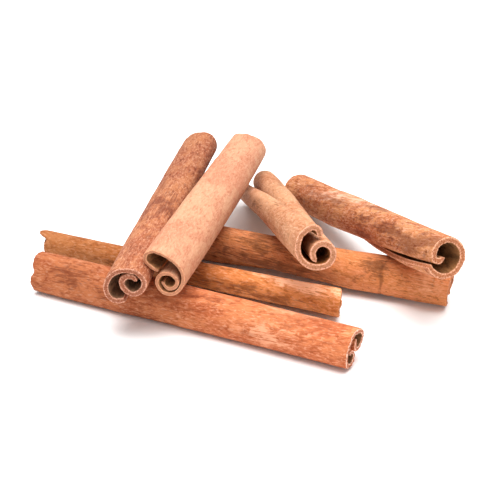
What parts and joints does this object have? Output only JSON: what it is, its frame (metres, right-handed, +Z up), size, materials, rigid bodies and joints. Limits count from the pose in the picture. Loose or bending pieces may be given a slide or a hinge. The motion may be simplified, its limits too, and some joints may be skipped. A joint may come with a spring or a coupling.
{
  "type": "stack of cinnamon sticks",
  "caption": "Loose stack of rolled cinnamon bark sticks, three lying on the table and the others leaning across them.",
  "frame": {"origin": "centre of the bounding box in X and Y, on the table the sticks lie on", "axes": "+X to the right along the lying sticks, +Y away from the viewer, +Z up"},
  "size_m": [0.0994, 0.0956, 0.0283],
  "materials": {
    "bark_orange": "dry, fibrous orange-brown bark with reddish patches",
    "bark_ochre": "dry, dark ochre-brown bark with long dark fibres",
    "bark_speckled": "dry orange-brown bark with purple-brown patches and pale flecks",
    "bark_pale": "smooth, thin pale peach bark with faint pinkish speckles",
    "bark_rust": "dry rust-brown bark with dark olive patches and cross marks",
    "bark_tan": "dry tan bark with olive-brown patches",
    "bark_brown": "dry, wrinkled brown bark with dark spots"
  },
  "bodies": {
    "root": {"stick_front": "bark_orange", "stick_second": "bark_ochre", "stick_lean_left": "bark_speckled", "stick_lean_right": "bark_pale", "stick_back": "bark_rust", "stick_middle": "bark_tan", "stick_right": "bark_brown"}
  },
  "joints": []
}
